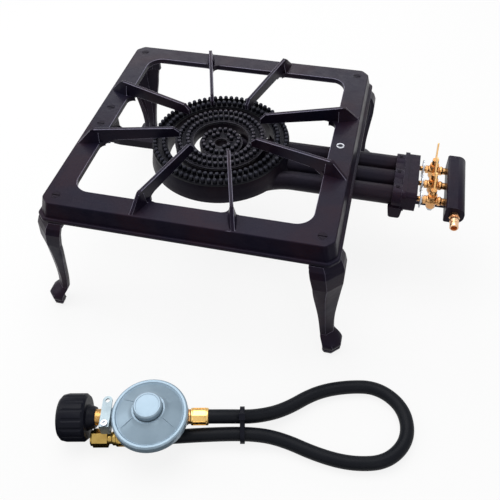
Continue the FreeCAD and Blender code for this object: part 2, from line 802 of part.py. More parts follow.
def hanger_strap():
    """Saddle round the three tubes, hung from the right border."""
    outline = [(-hanger_half, hanger_bottom), (hanger_half, hanger_bottom),
               (hanger_half, hanger_top), (-hanger_half, hanger_top)]
    points = [(hanger_x - hanger_wide / 2, y, z) for y, z in outline]
    strap = rounded_prism(points, [14, 14, 10, 10], Vec(hanger_wide, 0, 0))
    bore_radius = tube_radius + socket_clearance
    bores = [rod(Vec(hanger_x - hanger_wide, y, tube_height), ALONG_X, 2 * hanger_wide, bore_radius)
             for y in tube_rows]
    bores.append(rod(Vec(hanger_x, 0, tube_height), UP, 40, screw_radius))
    return less(strap, bores)


def hanger_screw():
    return flat_screw(hanger_x, 0, stand_height, stand_height - tube_height - tube_radius - 1)


# Collar, taps and manifold

def collar_block():
    lobes = [rod(Vec(collar_start, y, tube_height), ALONG_X, collar_lobe_length + 1, collar_lobe_radius)
             for y in tube_rows]
    web = box(collar_start, collar_lobe_end, -tube_spacing, tube_spacing, tube_height - 14, tube_height + 14)
    plates = []
    for x0, x1, (half_y, half_z), corner in (
            (collar_lobe_end, collar_bead_end, collar_bead_half, 9.0),
            (collar_bead_end, collar_end, collar_block_half, 7.0)):
        outline = [(x0, y, tube_height + z) for y, z in rectangle(half_y, half_z)]
        plates.append(rounded_prism(outline, [corner] * 4, Vec(x1 - x0, 0, 0)))
    foot_front = -tube_spacing - collar_lobe_radius - 1
    foot_top = tube_height - 8
    foot_low = tube_height - tube_radius - 13
    foot = rounded_prism(
        [(collar_start - 4, foot_front, foot_top), (collar_start + 17, foot_front, foot_top),
         (collar_start + 15, foot_front, foot_low), (collar_start - 1, foot_front, foot_low)],
        [0, 0, 4, 4], Vec(0, 24, 0))
    body = joined(lobes + [web] + plates + [foot])
    cutters = []
    for y in tube_rows:
        end = collar_start + socket_depth
        cutters.append(rod(Vec(collar_start - 20, y, tube_height), ALONG_X, socket_depth + 20,
                           tube_radius + socket_clearance))
        cutters.append(rod(Vec(end - 1, y, tube_height), ALONG_X, collar_end - end, venturi_bore))
        cutters.append(cone(Vec(collar_end - 8, y, tube_height), ALONG_X, 8.01, venturi_bore, mouth_bore))
        cutters.append(rod(Vec(collar_start + 6, y, tube_height), UP, 30, set_screw_radius))
    cutters.append(rod(Vec(bracket_bolt_x[0], bracket_y, bracket_top - 1), UP, 8.5, set_screw_radius))
    return less(body, cutters)


def collar_set_screws():
    """Slotted grub screws that hold the three tubes in the collar."""
    screws = []
    for y in tube_rows:
        top = tube_height + collar_lobe_radius + 0.2
        bottom = tube_height + tube_radius + 0.05
        screw = rod(Vec(collar_start + 6, y, bottom), UP, top - bottom, set_screw_radius)
        slot = box(collar_start, collar_start + 12, y - 0.5, y + 0.5, top - 1.2, top + 1)
        screws.append(screw.cut(slot))
    return screws


def manifold_end():
    return manifold_start + manifold_wide


def bracket_arm():
    """Flat bar that carries the manifold from the collar's underside."""
    start = collar_bead_end + 0.5
    end = bracket_bolt_x[1] + 7
    front, back = bracket_y - bracket_wide / 2, bracket_y + bracket_wide / 2
    outline = [(start, front), (end, front), (end, back), (start, back)]
    bar = rounded_prism(level(outline, bracket_top - bracket_thick), [3] * 4, Vec(0, 0, bracket_thick))
    holes = [rod(Vec(x, bracket_y, bracket_top - 20), UP, 40, set_screw_radius) for x in bracket_bolt_x]
    return less(bar, holes)


def bracket_bolts():
    bolts = []
    underside = bracket_top - bracket_thick
    for x in bracket_bolt_x:
        shank = rod(Vec(x, bracket_y, underside), UP, bracket_thick + 6.5, set_screw_radius)
        head = hexagon(Vec(x, bracket_y, underside - 3.5), UP, 3.5, 8.0)
        bolts.append(head.fuse(shank).removeSplitter())
    return bolts


def manifold_bar():
    x0, x1 = manifold_start, manifold_end()
    z0, z1 = tube_height - manifold_half_height, tube_height + manifold_half_height
    corners = ((x0, z0), (x1, z0), (x1, z1), (x0, z1))
    section = [(x, -manifold_front, z) for x, z in corners]
    bar = rounded_prism(section, [3, 12, 12, 3], Vec(0, manifold_front + manifold_back, 0))
    lug = rounded_prism(
        [(x0, bracket_y - 9, bracket_top), (x0 + 15, bracket_y - 9, bracket_top),
         (x0 + 15, bracket_y + 9, bracket_top), (x0, bracket_y + 9, bracket_top)], [3] * 4, Vec(0, 0, 8))
    body = joined([bar, lug])
    centre_x = x0 + manifold_wide / 2
    cutters = [rod(Vec(centre_x, -manifold_front - 1, tube_height), ALONG_Y,
                   manifold_front + manifold_back + 2, gas_way_radius)]
    cutters += [rod(Vec(x0 - 1, y, tube_height), ALONG_X, manifold_wide / 2 + 1, tap_thread_radius)
                for y in tube_rows]
    cutters.append(rod(Vec(bracket_bolt_x[1], bracket_y, bracket_top - 1), UP, 8, set_screw_radius))
    return less(body, cutters)


def manifold_plug():
    """Slotted plug in the back end of the gas way."""
    centre_x = manifold_start + manifold_wide / 2
    face = manifold_back
    stem = rod(Vec(centre_x, face - 9, tube_height), ALONG_Y, 9, gas_way_radius)
    head = rod(Vec(centre_x, face, tube_height), ALONG_Y, 3, gas_way_radius + 2.5)
    slot = box(centre_x - 12, centre_x + 12, face + 1.8, face + 4, tube_height - 0.8, tube_height + 0.8)
    return stem.fuse(head).removeSplitter().cut(slot)


def inlet_fitting():
    """Brass inlet with a hexagon, a collar and a threaded mouth, along -Y."""
    centre_x = manifold_start + manifold_wide / 2
    start = Vec(centre_x, -manifold_front, tube_height)
    front = Vec(0, -1, 0)
    tail = rod(start + ALONG_Y * 9, front, 9, gas_way_radius - 0.05)
    hex_part = hexagon(start, front, 5, 2 * inlet_radius + 0.6)
    steps = ((1.0, 5), (1.0, 7.5), (0, 8.2), (0, 14), (0.9, 14.8), (0.9, 16.5), (0.3, 17.2),
             (0.3, inlet_length - 1.2), (1.1, inlet_length))
    profile = [(0, 5)] + [(inlet_radius - depth, along) for depth, along in steps] + [(0, inlet_length)]
    barrel = revolved(profile, start, front)
    bore = rod(start + ALONG_Y * 10, front, inlet_length + 12, 2.6)
    mouth = rod(start + front * (inlet_length - 9), front, 12, inlet_radius - 2.2)
    return less(joined([tail, hex_part, barrel]), [bore, mouth])


def tap_jet(y):
    start = Vec(jet_start, y, tube_height)
    profile = [(0, 0), (2.2, 0), (jet_radius, 2.2), (jet_radius, 12), (0, 12)]
    nipple = revolved(profile, start, ALONG_X)
    hex_part = hexagon(start + ALONG_X * 12, ALONG_X, tap_body_start - jet_start - 12, 11.0)
    tail = rod(start + ALONG_X * 12, ALONG_X, tap_body_start - jet_start - 12 + 3.4, 3.0)
    passage = rod(start + ALONG_X * 3, ALONG_X, 30, 1.6)
    orifice = rod(start - ALONG_X, ALONG_X, 5, 0.5)
    return less(joined([nipple, hex_part, tail]), [passage, orifice])


def plug_radius_at(height):
    """Radius of the taper plug at a height above the tube axis."""
    span = barrel_above + barrel_below
    return plug_top_radius - plug_taper * (barrel_above - height) / span


def tap_body(y):
    length = tap_body_end - tap_body_start
    neck = length - 7.0
    profile = [(0, 0), (5.4, 0), (6.2, 1.2), (tap_body_radius - 0.6, 2.4), (tap_body_radius, 6),
               (tap_body_radius, neck - 2.5), (5.2, neck - 0.5), (5.2, neck + 0.8), (6.4, neck + 2.2),
               (6.7, neck + 3.8), (6.4, neck + 5.4), (tap_thread_radius, length),
               (tap_thread_radius, length + tap_thread_length), (0, length + tap_thread_length)]
    start = Vec(tap_body_start, y, tube_height)
    barrel_low = Vec(tap_x, y, tube_height - barrel_below)
    barrel = rod(barrel_low, UP, barrel_below + barrel_above, barrel_radius)
    body = joined([revolved(profile, start, ALONG_X), barrel])
    seat = cone(barrel_low - UP, UP, barrel_below + barrel_above + 2,
                plug_radius_at(-barrel_below - 1) + plug_fit, plug_radius_at(barrel_above + 1) + plug_fit)
    way = rod(start - ALONG_X, ALONG_X, length + tap_thread_length + 2, 1.8)
    jet_seat = rod(start - ALONG_X, ALONG_X, 4.6, 3.0)
    return less(body, [seat, way, jet_seat])


def tap_plug(y):
    """Taper plug with a slotted head above the barrel and a threaded stub below it."""
    low = Vec(tap_x, y, tube_height - barrel_below)
    length = barrel_below + barrel_above
    taper = cone(low, UP, length, plug_radius_at(-barrel_below), plug_radius_at(barrel_above))
    head = rod(low + UP * length, UP, plug_head_top - barrel_above, plug_top_radius)
    collar = rod(low + UP * (length + 0.3), UP, 2.2, plug_top_radius + plug_collar_reach)
    stub = rod(low - UP * 7.0, UP, 7.5, 2.2)
    gas_port = rod(Vec(tap_x - 9, y, tube_height), ALONG_X, 18, 1.8)
    slot = box(tap_x - lever_thick / 2 - 0.05, tap_x + lever_thick / 2 + 0.05, y - 9, y + 9,
               tube_height + barrel_above + 3.5, tube_height + plug_head_top + 1)
    return less(joined([taper, head, collar, stub]), [gas_port, slot])


def tap_lever(y):
    """Flat brass lever that stands in the plug's slot and leans to the back."""
    foot = (-3.6, barrel_above + 3.6)
    tip = (19.0, 36.0)
    outline = [
        (foot[0], foot[1]), (4.2, foot[1]), (4.2 + 1.5, foot[1] + 4.5), (tip[0] + 2.2, tip[1] - 2.6),
        (tip[0] - 1.0, tip[1] + 2.0), (foot[0], plug_head_top - 1.0)]
    x = tap_x - lever_thick / 2
    points = [(x, y + across, tube_height + rise) for across, rise in outline]
    return rounded_prism(points, [0.8, 0.8, 4.0, 1.8, 2.2, 3.0], Vec(lever_thick, 0, 0))


def tap_nut(y):
    """Nut and its spring washer under the taper plug."""
    low = tube_height - barrel_below
    washer = rod(Vec(tap_x, y, low - 1.6), UP, 1.3, 5.2)
    nut = hexagon(Vec(tap_x, y, low - 5.6), UP, 4.0, 8.0)
    return joined([washer, nut]).cut(rod(Vec(tap_x, y, low - 8), UP, 10, 2.2))


def air_shutter(y):
    bore = jet_radius + shutter_fit
    profile = [(bore, 0), (shutter_radius, 0), (shutter_radius, shutter_thick), (7.0, shutter_thick),
               (6.2, shutter_thick + 1.6), (bore, shutter_thick + 1.6)]
    return revolved(profile, Vec(shutter_x - shutter_thick, y, tube_height), ALONG_X)


# Regulator, built at the origin with u along X and v along Y

def on_inlet(u):
    return Vec(u, inlet_axis_v, inlet_axis_height)


def regulator_body():
    """Lower housing: a dish under the diaphragm with the valve block across it."""
    rim = disc_rim_height
    dish = revolved([(0, 27.5), (22.5, 27.5), (27.5, 30), (42.5, rim - 3.75),
                     (disc_radius - 1.875, rim - 3.75), (disc_radius - 1.875, rim), (0, rim)], MIDDLE, UP)
    hollow = revolved([(0, 32.5), (21.25, 32.5), (37.5, rim - 3.75), (37.5, rim + 1.25), (0, rim + 1.25)],
                      MIDDLE, UP)
    block = box(-47.5, 37.5, inlet_axis_v - 10, inlet_axis_v + 10,
                inlet_axis_height - 13.75, inlet_axis_height + 7.5)
    outlet = rod(on_inlet(35), ALONG_X, 11.875, 10.625)
    inlet_boss = rod(on_inlet(inlet_boss_start), ALONG_X, 15, 11.875)
    body = joined([dish, block, outlet, inlet_boss])
    inlet_way = rod(on_inlet(inlet_boss_start - 1.25), ALONG_X, 32.5, 3.75)
    outlet_way = rod(on_inlet(7.5), ALONG_X, 42.5, 5.0)
    rise = rod(Vec(12.5, inlet_axis_v, inlet_axis_height), UP, 7.5, 3.75)
    return less(body, [hollow, inlet_way, outlet_way, rise])


def regulator_cover():
    """Pressed cover with a rolled rim, a stepped dish and the spring tower."""
    base = disc_rim_height + 1.25
    shell = revolved([
        (disc_radius - 1.75, disc_rim_height - 5), (disc_radius, disc_rim_height - 5),
        (disc_radius, base + 3.25), (disc_radius - 2.0, base + 5.25),
        (dish_radius + 2.75, base + 5.25), (dish_radius + 1.25, base + 3.75), (dish_radius, base + 4.5),
        (cap_boss_radius + 1.25, base + 4.5 + dish_rise), (cap_boss_radius, boss_top),
        (cap_radius + 1.125, boss_top), (cap_radius + 1.125, base + 8.125), (15.0, base + 8.125),
        (15.0, base + 6.0), (cap_boss_radius, base + 6.0), (dish_radius - 3.75, base),
        (disc_radius - 1.75, base)], MIDDLE, UP)
    ridges = []
    for angle in (152, 212, -32):
        ends = []
        for radius, foot, ridge in ((22.5, base + 10, base + 15.5), (38.75, base + 3.5, base + 6.5)):
            ends.append(polygon([(radius, -1.125, foot), (radius, 1.125, foot),
                                 (radius, 0.375, ridge), (radius, -0.375, ridge)]))
        ridges.append(turned(loft(ends), angle))
    return joined([shell] + ridges)


def regulator_diaphragm():
    return rod(Vec(0, 0, disc_rim_height), UP, 1.25, disc_radius - 1.875)


def adjusting_spring():
    """The coil spring's envelope between the diaphragm and the cap, as a plain sleeve."""
    low = disc_rim_height + 1.25
    return revolved([(8.75, low), (11.25, low), (11.25, cap_top - 5.5), (8.75, cap_top - 5.5)], MIDDLE, UP)


def adjusting_cap():
    """Screw cap over the spring."""
    base = disc_rim_height + 1.25
    return revolved([
        (0, cap_top - 5), (cap_radius - 2.75, cap_top - 5), (cap_radius - 2.75, base + 8.75),
        (cap_radius, base + 8.75), (cap_radius, boss_top + 0.375), (cap_radius + 0.75, boss_top + 0.375),
        (cap_radius + 0.75, cap_top - 1.75), (cap_radius - 1.0, cap_top), (cap_radius - 2.5, cap_top),
        (cap_radius - 3.0, cap_top - 0.75), (0, cap_top - 0.75)], MIDDLE, UP)


def inlet_stem():
    """Brass inlet with a nose for the cylinder valve and a collar that holds the hand wheel."""
    collar = stem_collar_end - stem_nose
    length = inlet_boss_start - stem_nose
    flange = stem_radius + stem_collar_reach
    profile = [(0, 0), (5.25, 0), (7.0, 3.125), (8.25, 15), (8.25, collar - 3.75), (flange, collar - 3.75),
               (flange, collar), (stem_radius, collar), (stem_radius, length), (0, length)]
    stem = revolved(profile, on_inlet(stem_nose), ALONG_X)
    groove = revolved([(7.5, 8.75), (9.375, 8.75), (9.375, 12.5), (7.5, 12.5)], on_inlet(stem_nose), ALONG_X)
    passage = rod(on_inlet(stem_nose - 1.25), ALONG_X, length + 2.5, 3.25)
    return less(stem, [groove, passage])


def inlet_seal():
    return revolved([(7.5, 8.75), (9.5, 8.75), (9.5, 12.5), (7.5, 12.5)], on_inlet(stem_nose), ALONG_X)


def hand_wheel():
    """Ribbed hand wheel with its threaded cup open to the cylinder."""
    length = wheel_end - wheel_start
    neck_bore = stem_radius + neck_gap
    neck_end = neck_bore + neck_wall
    outside = revolved([
        (0, 0), (wheel_radius - 5.625, 0), (wheel_radius - 1.5, 3.75), (wheel_radius, 10),
        (wheel_radius, length - 3.75), (wheel_radius - 3.125, length), (neck_end + 3.75, length),
        (neck_end + 2.5, length + 3.75), (neck_end, length + 10), (0, length + 10)],
        on_inlet(wheel_start), ALONG_X)
    cup = rod(on_inlet(wheel_start - 1.25), ALONG_X, stem_collar_end - wheel_start + 1.625, 20.625)
    neck = rod(on_inlet(wheel_start), ALONG_X, length + 12.5, neck_bore)
    flutes = []
    for i in range(wheel_ribs):
        angle = 360.0 * i / wheel_ribs
        flute = rod(on_inlet(wheel_start - 1.25) + Vec(0, 0, wheel_radius + 2.0), ALONG_X, length + 2.5, 3.25)
        flutes.append(turned(flute, angle + 180.0 / wheel_ribs, on_inlet(0), ALONG_X))
    return less(outside, [cup, neck] + flutes)


def tag_screw_v():
    return inlet_axis_v - stem_radius - 6.25


def bracket_tag():
    """Fixing tab beside the inlet, with its hole at the top."""
    top = inlet_axis_height + 15.625
    u0, u1 = -63.75, -51.25
    v0, v1 = inlet_axis_v - stem_radius - 10.75, inlet_axis_v + stem_radius + 0.75
    low = inlet_axis_height - 4.375
    outline = [(u0, inlet_axis_v + 10), (u1, inlet_axis_v + 10), (u1, v1 + 10.625), (u0, v1 + 10.625)]
    tab = rounded_prism(level(outline, top - 2.5), [0, 0, 6.125, 6.125], Vec(0, 0, 2.5))
    clamp = joined([box(u0, -59.0, v0, v1, low, top), box(u0, u1, v0, v0 + 9.0, low, top),
                    box(u0, u1, v0, v1, top - 3.25, top)])
    body = clamp.fuse(tab).removeSplitter()
    holes = [rod(Vec(-57.5, v1 + 4.375, top - 6.25), UP, 12.5, 2.875),
             rod(on_inlet(-75), ALONG_X, 16.875, stem_radius + 0.0625),
             rod(Vec(-56.875, tag_screw_v(), inlet_axis_height), UP, 25, 2.5)]
    return less(body, holes)


def tag_screw():
    top = inlet_axis_height + 15.625
    centre = Vec(-56.875, tag_screw_v(), top)
    head = rod(centre, UP, 2.75, 4.25)
    shank = rod(centre - UP * 15, UP, 15.625, 2.5)
    socket = hexagon(centre + UP * 1.0, UP, 3.75, 3.75)
    return head.fuse(shank).removeSplitter().cut(socket)


def outlet_barb():
    """Hose tail screwed into the regulator."""
    profile = [(0, 0), (9.5, 0), (9.5, 3.75), (5.75, 3.75), (5.75, 25), (0, 25)]
    tail = revolved(profile, on_inlet(46.875), ALONG_X)
    return tail.cut(rod(on_inlet(46.25), ALONG_X, 37.5, 3.75))


def crimp_ferrule(start, length):
    """Crimped brass sleeve, pressed flat all round between its two ends."""
    sleeve = revolved([
        (ferrule_bore, 0), (ferrule_radius - 0.8, 0), (ferrule_radius, 0.8), (ferrule_radius, length - 0.8),
        (ferrule_radius - 0.8, length), (ferrule_bore, length)], start, ALONG_X)
    presses = []
    for i in range(ferrule_flats):
        press = box(3.2, length - 3.2, -3.6, 3.6, ferrule_radius - 1.3, ferrule_radius + 5)
        press = turned(press, 360.0 * i / ferrule_flats, MIDDLE, ALONG_X)
        presses.append(moved(press, start.x, start.y, start.z))
    return less(sleeve, presses)


def ferrule():
    return crimp_ferrule(on_inlet(ferrule_start + 1.25), ferrule_end - ferrule_start - 1.25)


def end_start():
    return Vec(*hose_route[-1])


def end_ferrule():
    return crimp_ferrule(end_start() - ALONG_X * 26.25, 26.25)


def end_fitting():
    """Swivel nut and tail on the hose's free end."""
    profile = [(0, 0), (7.75, 0), (7.75, 7.5), (9.5, 8.75), (9.5, 13.0), (5.75, 13.0), (5.75, 36.25),
               (0, 36.25)]
    face = end_start() - ALONG_X * 39.25
    tail = revolved(profile, face, ALONG_X)
    nut = hexagon(face - ALONG_X * 17.5, ALONG_X, 20, 21.25)
    bead = rod(face - ALONG_X * 20, ALONG_X, 2.75, 10.0)
    threads = rod(face - ALONG_X * 21.25, ALONG_X, 17.5, 7.0)
    bore = rod(face - ALONG_X * 25, ALONG_X, 65, 3.75)
    return less(joined([tail, nut, bead]), [threads, bore])


def hose_path():
    """Straight runs joined by tangent arcs, as large as the runs allow."""
    points = [Vec(*p) for p in hose_route]
    pieces = []
    length = 0.0
    radii = []
    here = points[0]
    for i in range(1, len(points) - 1):
        back = points[i - 1] - points[i]
        ahead = points[i + 1] - points[i]
        shorter = min(back.Length, ahead.Length)
        turn = math.pi - back.getAngle(ahead)
        radius = 0.45 * shorter / math.tan(turn / 2)
        back.normalize()
        ahead.normalize()
        start = points[i] + back * (0.45 * shorter)
        end = points[i] + ahead * (0.45 * shorter)
        inward = (back + ahead).normalize()
        middle = points[i] + inward * (radius / math.cos(turn / 2) - radius)
        pieces.append(Part.LineSegment(here, start).toShape())
        pieces.append(Part.Arc(start, middle, end).toShape())
        length += here.distanceToPoint(start) + radius * turn
        radii.append(radius)
        here = end
    pieces.append(Part.LineSegment(here, points[-1]).toShape())
    length += here.distanceToPoint(points[-1])
    print("hose length %.1f mm, bend radii %s" % (length, [round(r) for r in radii]))
    return Part.Wire(pieces), length


def hose():
    path, length = hose_path()
    first = (Vec(*hose_route[1]) - Vec(*hose_route[0])).normalize()
    section = Part.Wire([Part.Circle(Vec(*hose_route[0]), first, hose_radius).toShape()])
    tube = path.makePipeShell([section], True, False)
    expected = math.pi * hose_radius ** 2 * length
    print("hose volume %.1f, section times length %.1f" % (tube.Volume, expected))
    return tube


def strand_at(first_point, u):
    """Centre of the hose between two route points, at a place along u."""
    a = Vec(*hose_route[first_point])
    b = Vec(*hose_route[first_point + 1])
    return a + (b - a) * ((u - a.x) / (b.x - a.x))


def cable_tie():
    """Strap round both strands, with its lock on top."""
    near = strand_at(13, tie_u)
    far = strand_at(1, tie_u)
    across = far - near
    across.x = 0
    spread = across.Length
    inner = hose_radius + tie_gap
    straps = []
    for radius in (inner + tie_thick, inner):
        ends = [rod(Vec(0, y, 0), ALONG_X, tie_wide, radius) for y in (0, spread)]
        straps.append(joined(ends + [box(0, tie_wide, 0, spread, -radius, radius)]))
    lock = box(-1.0, tie_wide + 1.0, spread - 3.75, spread + 5, inner + 0.25, inner + tie_thick + 4.5)
    band = joined([straps[0], lock]).cut(straps[1])
    band.rotate(MIDDLE, ALONG_X, math.degrees(math.atan2(across.z, across.y)))
    band.translate(Vec(tie_u - tie_wide / 2, near.y, near.z))
    return band


def set_down(shape):
    """Regulator or hose piece, turned and put at its place on the floor."""
    return moved(turned(shape, regulator_turn), regulator_at[0], regulator_at[1])


# Every piece under its name

stand_leg = leg()
pieces = {
    "top_frame": [top_frame()],
    "leg_back_right": [stand_leg],
    "leg_back_left": [turned(stand_leg, 90)],
    "leg_front_left": [turned(stand_leg, 180)],
    "leg_front_right": [turned(stand_leg, 270)],
    "leg_screws": leg_screws(),
    "leg_nuts": leg_nuts(),
    "outer_ring_casting": [outer_ring_casting()],
    "middle_ring_casting": [middle_ring_casting()],
    "centre_ring_casting": [centre_ring_casting()],
    "outer_ring_head": [ring_head(outer_ring_inside, head_outside, ring_wall, ring_head_seat,
                                  nub_places(outer_rows), True)],
    "middle_ring_head": [ring_head(middle_ring_inside, middle_ring_outside, ring_wall, ring_head_seat,
                                   nub_places(middle_rows))],
    "centre_ring_head": [ring_head(centre_ring_hole, centre_ring_outside, centre_ring_wall, centre_head_seat,
                                   nub_places([centre_row]) + pair_places())],
    "arm_screws": arm_screws(),
    "arm_nuts": arm_nuts(),
    "hanger_strap": [hanger_strap()],
    "hanger_screw": [hanger_screw()],
    "collar_block": [collar_block()],
    "collar_set_screws": collar_set_screws(),
    "bracket_arm": [bracket_arm()],
    "bracket_bolts": bracket_bolts(),
    "manifold_bar": [manifold_bar()],
    "manifold_plug": [manifold_plug()],
    "inlet_fitting": [inlet_fitting()],
}
for place, row in zip(places, tube_rows):
    pieces["tap_body_" + place] = [tap_body(row)]
    pieces["tap_jet_" + place] = [tap_jet(row)]
    pieces["tap_plug_" + place] = [tap_plug(row)]
    pieces["tap_lever_" + place] = [tap_lever(row)]
    pieces["tap_nut_" + place] = [tap_nut(row)]
    pieces["air_shutter_" + place] = [air_shutter(row)]

loose_pieces = {
    "regulator_body": [regulator_body()],
    "regulator_cover": [regulator_cover()],
    "regulator_diaphragm": [regulator_diaphragm()],
    "adjusting_spring": [adjusting_spring()],
    "adjusting_cap": [adjusting_cap()],
    "inlet_stem": [inlet_stem()],
    "inlet_seal": [inlet_seal()],
    "hand_wheel": [hand_wheel()],
    "bracket_tag": [bracket_tag()],
    "tag_screw": [tag_screw()],
    "outlet_barb": [outlet_barb()],
    "ferrule": [ferrule()],
    "hose": [hose()],
    "end_ferrule": [end_ferrule()],
    "end_fitting": [end_fitting()],
    "cable_tie": [cable_tie()],
}

# The origin is on the floor, under the middle of the stand with its manifold.
bounds = FreeCAD.BoundBox()
for solids in pieces.values():
    for solid in solids:
        bounds.add(solid.optimalBoundingBox(False, False))
origin_x = (bounds.XMin + bounds.XMax) / 2
origin_y = (bounds.YMin + bounds.YMax) / 2
print("origin from the middle of the stand: %.4f %.4f" % (origin_x, origin_y))

os.makedirs("parts", exist_ok=True)
for name, solids in loose_pieces.items():
    pieces[name] = [set_down(solid) for solid in solids]
for name, solids in pieces.items():
    whole = Part.makeCompound(solids) if len(solids) > 1 else solids[0]
    whole = moved(whole, -origin_x, -origin_y)
    broken = [s for s in whole.Solids if not s.isValid()]
    print(name, len(whole.Solids), "solids", "NOT VALID" if broken or not whole.Solids else "")
    whole.exportStep("parts/%s.step" % name)
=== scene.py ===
import bpy
import json
import math
from mathutils import Matrix, Vector


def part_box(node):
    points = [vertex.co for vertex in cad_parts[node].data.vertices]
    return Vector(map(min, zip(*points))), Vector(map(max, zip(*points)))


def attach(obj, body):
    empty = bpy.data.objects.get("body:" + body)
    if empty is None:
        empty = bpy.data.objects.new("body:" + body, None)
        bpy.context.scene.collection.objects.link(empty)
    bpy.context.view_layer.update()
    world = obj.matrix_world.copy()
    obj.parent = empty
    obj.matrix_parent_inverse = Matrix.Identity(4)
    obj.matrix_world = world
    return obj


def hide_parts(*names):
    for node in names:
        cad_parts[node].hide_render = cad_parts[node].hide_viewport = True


# All lengths are in metres

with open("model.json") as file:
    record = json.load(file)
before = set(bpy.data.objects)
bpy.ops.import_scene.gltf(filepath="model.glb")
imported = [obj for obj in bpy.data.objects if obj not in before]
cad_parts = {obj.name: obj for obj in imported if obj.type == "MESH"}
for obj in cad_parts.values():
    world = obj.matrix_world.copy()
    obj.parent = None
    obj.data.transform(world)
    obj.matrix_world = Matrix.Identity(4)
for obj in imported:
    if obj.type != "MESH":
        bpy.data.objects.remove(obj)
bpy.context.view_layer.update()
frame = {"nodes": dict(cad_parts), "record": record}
nodes = frame["nodes"]
scene = bpy.context.scene

# Camera, at the photo's viewing angle

camera_place = (0.15996, -0.7369, 0.7915)
picture_right = Vector((0.9735, 0.2280, -0.0194)).normalized()
picture_down = Vector((0.1575, -0.7291, -0.6661)).normalized()

camera_data = bpy.data.cameras.new("camera")
camera_data.sensor_width = 36.0
camera_data.lens = 46.0
camera_data.clip_start = 0.01
camera = bpy.data.objects.new("camera", camera_data)
forward = picture_right.cross(picture_down).normalized()
square_down = forward.cross(picture_right)
turn = Matrix((picture_right, -square_down, -forward)).transposed().to_4x4()
camera.matrix_world = Matrix.Translation(camera_place) @ turn
scene.collection.objects.link(camera)
scene.camera = camera

# Materials


def material(name):
    """A new material, with its node tree, its shader and its place in object space."""
    mat = bpy.data.materials.new(name)
    mat.use_nodes = True
    tree = mat.node_tree
    shader = tree.nodes["Principled BSDF"]
    place = tree.nodes.new("ShaderNodeTexCoord")
    return mat, tree, shader, place.outputs["Object"]


def noise(tree, place, scale, detail, rough=0.55, stretch=None):
    """Noise between 0 and 1, made finer or longer along each axis where stretch is given."""
    if stretch:
        mapping = tree.nodes.new("ShaderNodeMapping")
        mapping.inputs["Scale"].default_value = stretch
        tree.links.new(place, mapping.inputs["Vector"])
        place = mapping.outputs["Vector"]
    node = tree.nodes.new("ShaderNodeTexNoise")
    node.inputs["Scale"].default_value = scale
    node.inputs["Detail"].default_value = detail
    node.inputs["Roughness"].default_value = rough
    tree.links.new(place, node.inputs["Vector"])
    return node.outputs["Fac"]


def ramp(tree, value, stops):
    """Turns a value into a colour or a grey through stops of (position, colour or grey)."""
    node = tree.nodes.new("ShaderNodeValToRGB")
    while len(node.color_ramp.elements) < len(stops):
        node.color_ramp.elements.new(0.5)
    for element, (position, colour) in zip(node.color_ramp.elements, stops):
        element.position = position
        if not hasattr(colour, "__len__"):
            colour = (colour, colour, colour)
        element.color = (*colour, 1.0)
    tree.links.new(value, node.inputs["Fac"])
    return node.outputs["Color"]


def blend_colour(tree, factor, a, b):
    """Mixes two colours, each a fixed one or a node's output."""
    node = tree.nodes.new("ShaderNodeMix")
    node.data_type = "RGBA"
    tree.links.new(factor, node.inputs[0])
    for socket, value in ((node.inputs[6], a), (node.inputs[7], b)):
        if hasattr(value, "is_output"):
            tree.links.new(value, socket)
        else:
            socket.default_value = (*value, 1.0)
    return node.outputs[2]


def scaled(colour, share):
    """The same colour, lighter or darker."""
    return tuple(c * share for c in colour)


def between(tree, value, low, high):
    """Factor that goes from 0 to 1 as the value goes from low to high."""
    span = tree.nodes.new("ShaderNodeMapRange")
    span.inputs["From Min"].default_value = low
    span.inputs["From Max"].default_value = high
    tree.links.new(value, span.inputs["Value"])
    return span.outputs["Result"]


def bump(tree, shader, layers):
    """Adds bump layers of (height, strength, distance), the coarsest first."""
    normal = None
    for height, strength, distance in layers:
        node = tree.nodes.new("ShaderNodeBump")
        node.inputs["Strength"].default_value = strength
        node.inputs["Distance"].default_value = distance
        tree.links.new(height, node.inputs["Height"])
        if normal:
            tree.links.new(normal, node.inputs["Normal"])
        normal = node.outputs["Normal"]
    tree.links.new(normal, shader.inputs["Normal"])


def cast_paint(name, dark, warm, cool, rough, grain, specular):
    """Paint over cast iron: faint warm and cool clouds, and the sand casting's grain."""
    mat, tree, shader, place = material(name)
    cloud_noise = noise(tree, place, scale=14.0, detail=2.0)
    speck_noise = noise(tree, place, scale=420.0, detail=2.0)
    sheen_noise = noise(tree, place, scale=60.0, detail=4.0)
    coarse_sand = noise(tree, place, scale=160.0, detail=2.0)
    fine_sand = noise(tree, place, scale=750.0, detail=2.0)
    clouds = ramp(tree, cloud_noise, [(0.38, warm), (0.5, dark), (0.64, cool)])
    specks = ramp(tree, speck_noise, [(0.35, 0.0), (0.75, 1.0)])
    sheen = ramp(tree, sheen_noise, [(0.3, rough - 0.05), (0.7, rough + 0.07)])
    tree.links.new(blend_colour(tree, specks, clouds, scaled(dark, 1.25)), shader.inputs["Base Color"])
    tree.links.new(sheen, shader.inputs["Roughness"])
    shader.inputs["Specular IOR Level"].default_value = specular
    shader.inputs["Specular Tint"].default_value = (0.86, 0.77, 1.0, 1.0)
    bump(tree, shader, [(coarse_sand, 0.10 * grain, 0.002), (fine_sand, 0.16 * grain, 0.0006)])
    return mat


